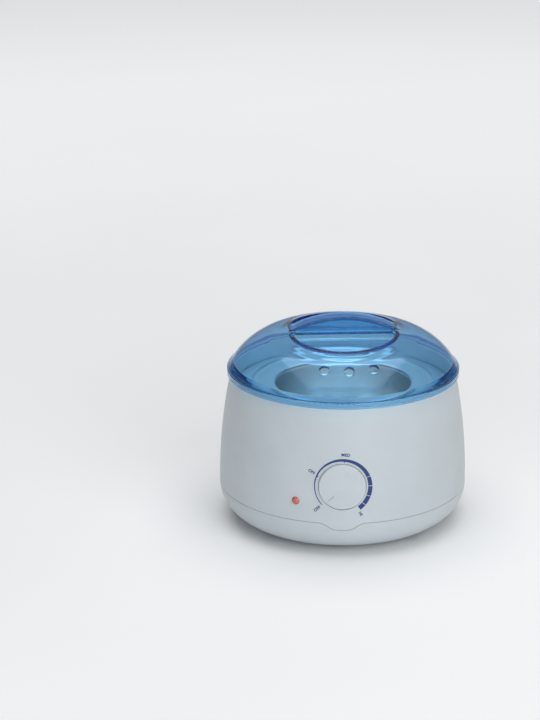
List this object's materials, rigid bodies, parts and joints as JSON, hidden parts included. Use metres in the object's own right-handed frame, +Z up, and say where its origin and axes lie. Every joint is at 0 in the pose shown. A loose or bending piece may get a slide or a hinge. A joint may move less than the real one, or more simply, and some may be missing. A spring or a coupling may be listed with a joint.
{
  "type": "wax heater",
  "caption": "Round tabletop wax heater: barrel-shaped moulded housing, heated pot with lift-out container, clear domed lid with finger dishes, front dial thermostat.",
  "frame": {"origin": "on the surface that the feet stand on, below the middle of the heater", "axes": "+Z up; -Y is the front with the dial; +Y is the back with the cord inlet; +X is to the right seen from the front"},
  "size_m": [0.16, 0.1625, 0.1348],
  "materials": {
    "housing": "fine satin moulding",
    "foot_rubber": "matt",
    "screw_steel": "zinc plated",
    "spun_aluminium": "spun",
    "silicone": "matt",
    "mica": "pressed mica sheet",
    "sheet_steel": "pressed sheet",
    "shield_aluminium": "bright sheet",
    "terminal_brass": "plain",
    "phenolic": "moulded",
    "knob_plastic": "smooth moulding",
    "fuse_metal": "plated",
    "lens_red": "clear red moulding",
    "holder_plastic": "moulded",
    "lamp_glass": "glass bulb",
    "gland_plastic": "moulded",
    "block_plastic": "moulded",
    "wire_sleeve": "braided glass sleeve",
    "lid_plastic": "clear blue moulding"
  },
  "bodies": {
    "base": {"lower_housing": "housing", "upper_housing": "housing", "rubber_feet": "foot_rubber", "housing_screws": "screw_steel", "heating_pot": "spun_aluminium", "pot_gasket": "silicone", "mica_heater": "mica", "heater_clamp": "sheet_steel", "clamp_stud": "screw_steel", "stud_nuts": "screw_steel", "shield_spacer": "sheet_steel", "heat_shield": "shield_aluminium", "heater_tabs": "terminal_brass", "thermostat_saddle": "shield_aluminium", "thermostat_body": "phenolic", "thermostat_screws": "screw_steel", "thermostat_blades": "terminal_brass", "fuse_clip": "shield_aluminium", "thermal_fuse": "fuse_metal", "indicator_lens": "lens_red", "lamp_holder": "holder_plastic", "glow_lamp": "lamp_glass", "cord_gland": "gland_plastic", "gland_nut": "gland_plastic", "terminal_block": "block_plastic", "terminal_screws": "terminal_brass", "wire_harness": "wire_sleeve"},
    "dial": {"control_knob": "knob_plastic", "thermostat_spindle": "sheet_steel"},
    "container": {"wax_container": "spun_aluminium"},
    "lid": {"lid": "lid_plastic"}
  },
  "joints": [
    {"name": "container_lift", "type": "slide", "parent": "base", "child": "container", "axis": [0, 0, 1], "range_m": [0, 0.085]},
    {"name": "lid_lift", "type": "slide", "parent": "container", "child": "lid", "axis": [0, 0, 1], "range_m": [0, 0.06]},
    {"name": "dial_turn", "type": "hinge", "parent": "base", "child": "dial", "pos_m": [0, -0.0788, 0.0485], "axis": [0, 1, 0], "range_deg": [0, 276]}
  ]
}
